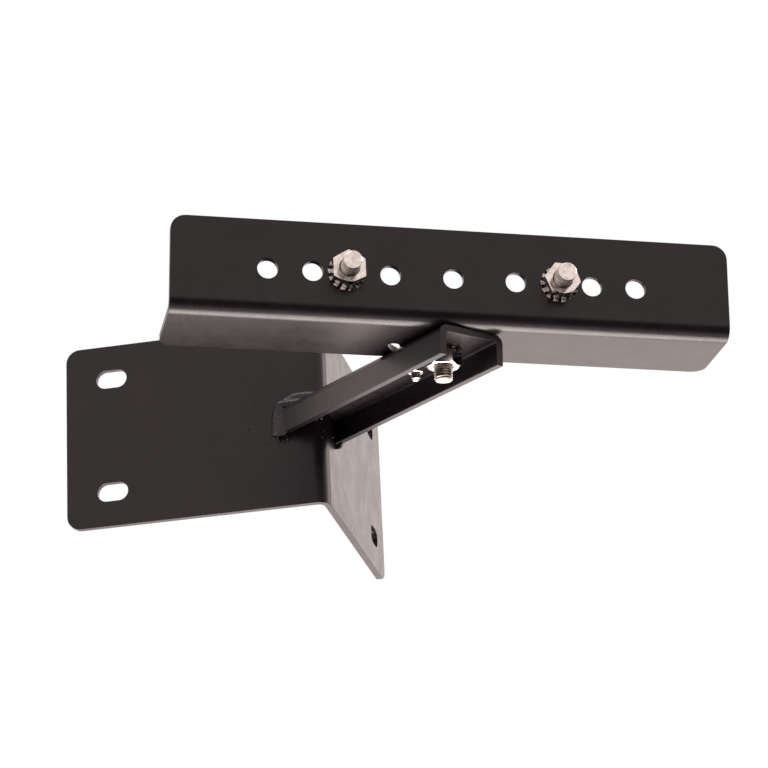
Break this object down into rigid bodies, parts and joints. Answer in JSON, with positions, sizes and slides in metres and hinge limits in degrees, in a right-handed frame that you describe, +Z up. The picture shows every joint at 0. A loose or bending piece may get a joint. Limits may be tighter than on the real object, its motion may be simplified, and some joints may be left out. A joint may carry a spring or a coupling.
{
  "type": "corner loudspeaker wall bracket",
  "caption": "Folded steel plate for an outside wall corner with a welded channel arm; a drilled angle bar turns on its end and carries a loudspeaker, clamped by a lock bolt.",
  "frame": {"origin": "edge of the building's outside corner, at the plate's mid height", "axes": "+Z up along the corner's edge; one wall is the plane y = 0 on the -X side, the other the plane x = 0 on the +Y side; the arm points along (+X, -Y)"},
  "size_m": [0.3885, 0.3229, 0.11],
  "materials": {
    "black_powder_coat": "satin black powder coat with a fine grain",
    "zinc_plated_steel": "bright plated steel, slightly warm"
  },
  "bodies": {
    "bracket": {"wall_plate": "black_powder_coat", "arm_channel": "black_powder_coat", "arm_weld": "black_powder_coat", "pivot_bolt": "zinc_plated_steel", "pivot_tooth_washer": "zinc_plated_steel", "pivot_nut": "zinc_plated_steel", "lock_flat_washer": "zinc_plated_steel", "lock_bolt": "zinc_plated_steel", "lock_tooth_washer": "zinc_plated_steel", "lock_nut": "zinc_plated_steel"},
    "bar": {"speaker_bar": "black_powder_coat", "speaker_bolt_left": "zinc_plated_steel", "speaker_tooth_washer_left": "zinc_plated_steel", "speaker_nut_left": "zinc_plated_steel", "speaker_bolt_right": "zinc_plated_steel", "speaker_tooth_washer_right": "zinc_plated_steel", "speaker_nut_right": "zinc_plated_steel"}
  },
  "joints": [
    {"name": "bar_pan", "type": "hinge", "parent": "bracket", "child": "bar", "pos_m": [0.08782, -0.08782, -0.00447], "axis": [0.0469, -0.0469, 0.9978], "range_deg": [-43, 89]}
  ]
}
